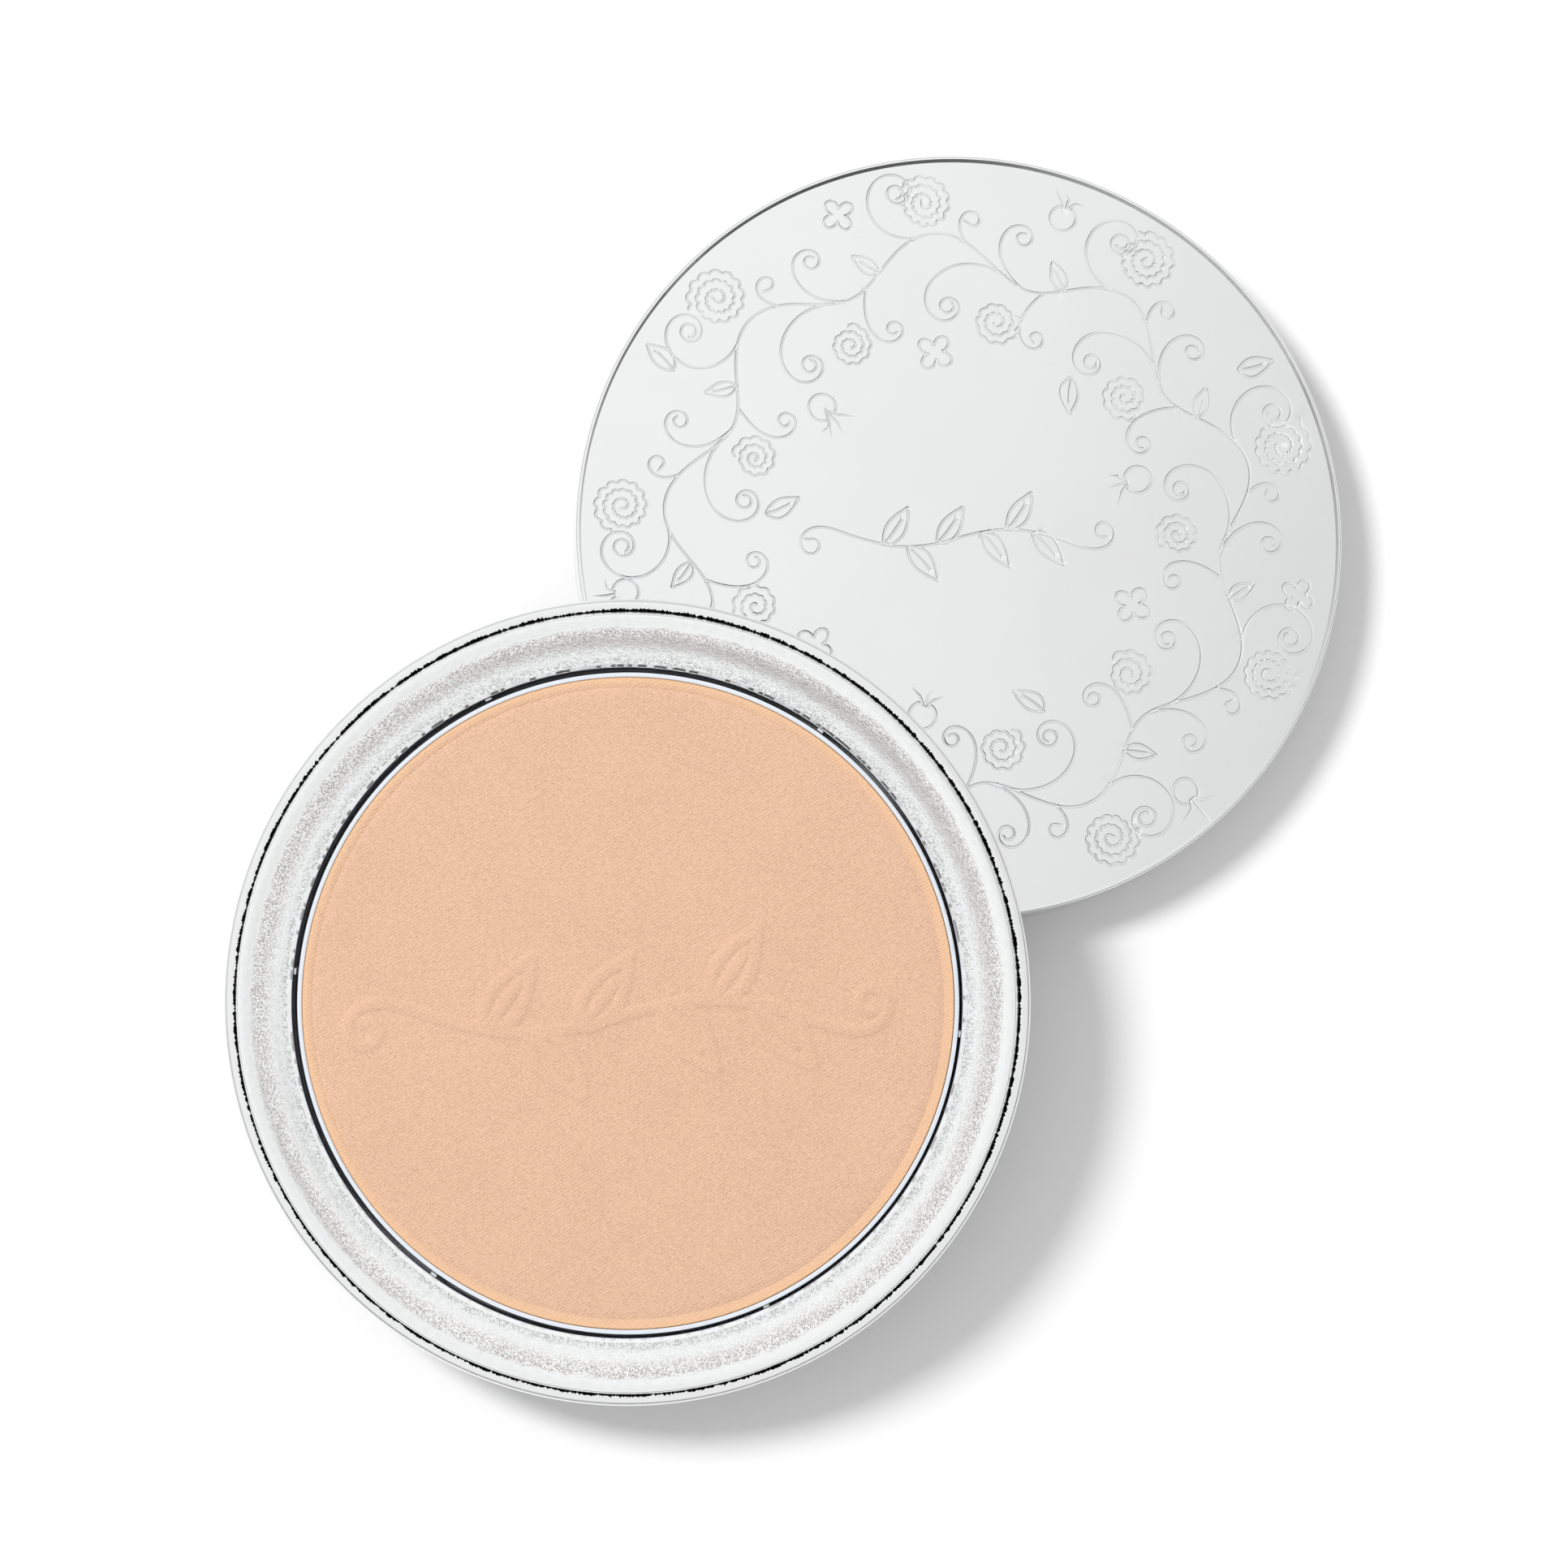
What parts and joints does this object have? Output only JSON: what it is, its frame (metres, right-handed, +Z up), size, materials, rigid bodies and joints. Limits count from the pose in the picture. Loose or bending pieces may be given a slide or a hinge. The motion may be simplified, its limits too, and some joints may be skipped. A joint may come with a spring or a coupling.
{
  "type": "powder compact",
  "caption": "Round metal powder compact, shown open: a shallow base holding a pan of pressed face powder leans on its embossed lift-off lid.",
  "frame": {"origin": "on the surface that the open compact stands on, under the middle of the whole length and width", "axes": "+Z up; +Y from the base towards the lid, along the line through both centres; +X to the right when looking along +Y"},
  "size_m": [0.072, 0.1252, 0.0193],
  "materials": {
    "satin_aluminium": "fine satin, light silver",
    "grained_aluminium": "satin with an orange-peel grain where it is drawn",
    "pan_aluminium": "bright, slightly bluish silver",
    "powder": "matt pressed mineral powder, light beige",
    "tray_plastic": "moulded, light grey",
    "liner_plastic": "moulded, satin white",
    "mirror_glass": "polished",
    "adhesive": "double-sided adhesive sheet",
    "label_paper": "blank smooth label"
  },
  "bodies": {
    "lid": {"lid_shell": "satin_aluminium", "lid_liner": "liner_plastic", "lid_mirror": "mirror_glass", "mirror_adhesive": "adhesive"},
    "base": {"base_shell": "satin_aluminium", "collar_ring": "grained_aluminium", "inner_tray": "tray_plastic", "pan_adhesive": "adhesive", "powder_pan": "pan_aluminium", "pressed_powder": "powder", "underside_label": "label_paper"}
  },
  "joints": [
    {"name": "lift_off", "type": "slide", "parent": "lid", "child": "base", "axis": [0, -0.1331, 0.9911], "range_m": [0, 0.03]}
  ]
}
